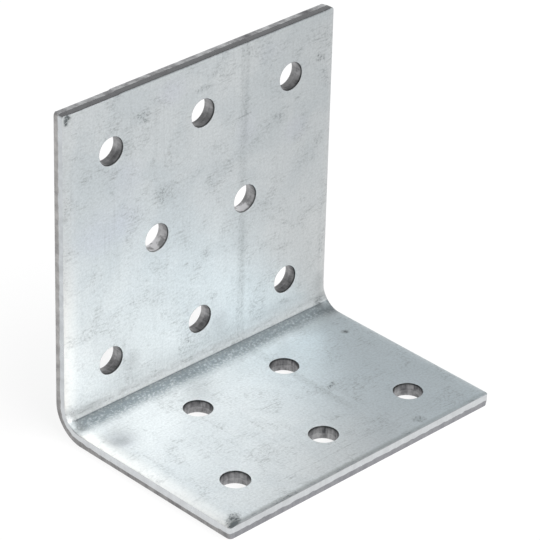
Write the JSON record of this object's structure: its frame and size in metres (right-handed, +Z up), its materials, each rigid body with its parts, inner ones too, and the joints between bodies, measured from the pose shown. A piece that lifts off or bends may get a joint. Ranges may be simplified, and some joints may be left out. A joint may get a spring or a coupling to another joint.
{
  "type": "corner brace bracket",
  "caption": "Zinc-plated steel corner brace: a punched strip folded once to a right angle, a tall leg and a shorter base, with staggered screw holes.",
  "frame": {"origin": "middle of the footprint, on the surface that the base lies on", "axes": "+X along the fold, +Y towards the back of the leg, +Z up the leg; the base runs from the leg towards -Y"},
  "size_m": [0.06, 0.042, 0.06],
  "materials": {
    "zinc_plate": "bright zinc plate, semi-gloss with a fine mottle, duller on the sheared edges"
  },
  "bodies": {
    "root": {"bracket": "zinc_plate"}
  },
  "joints": []
}
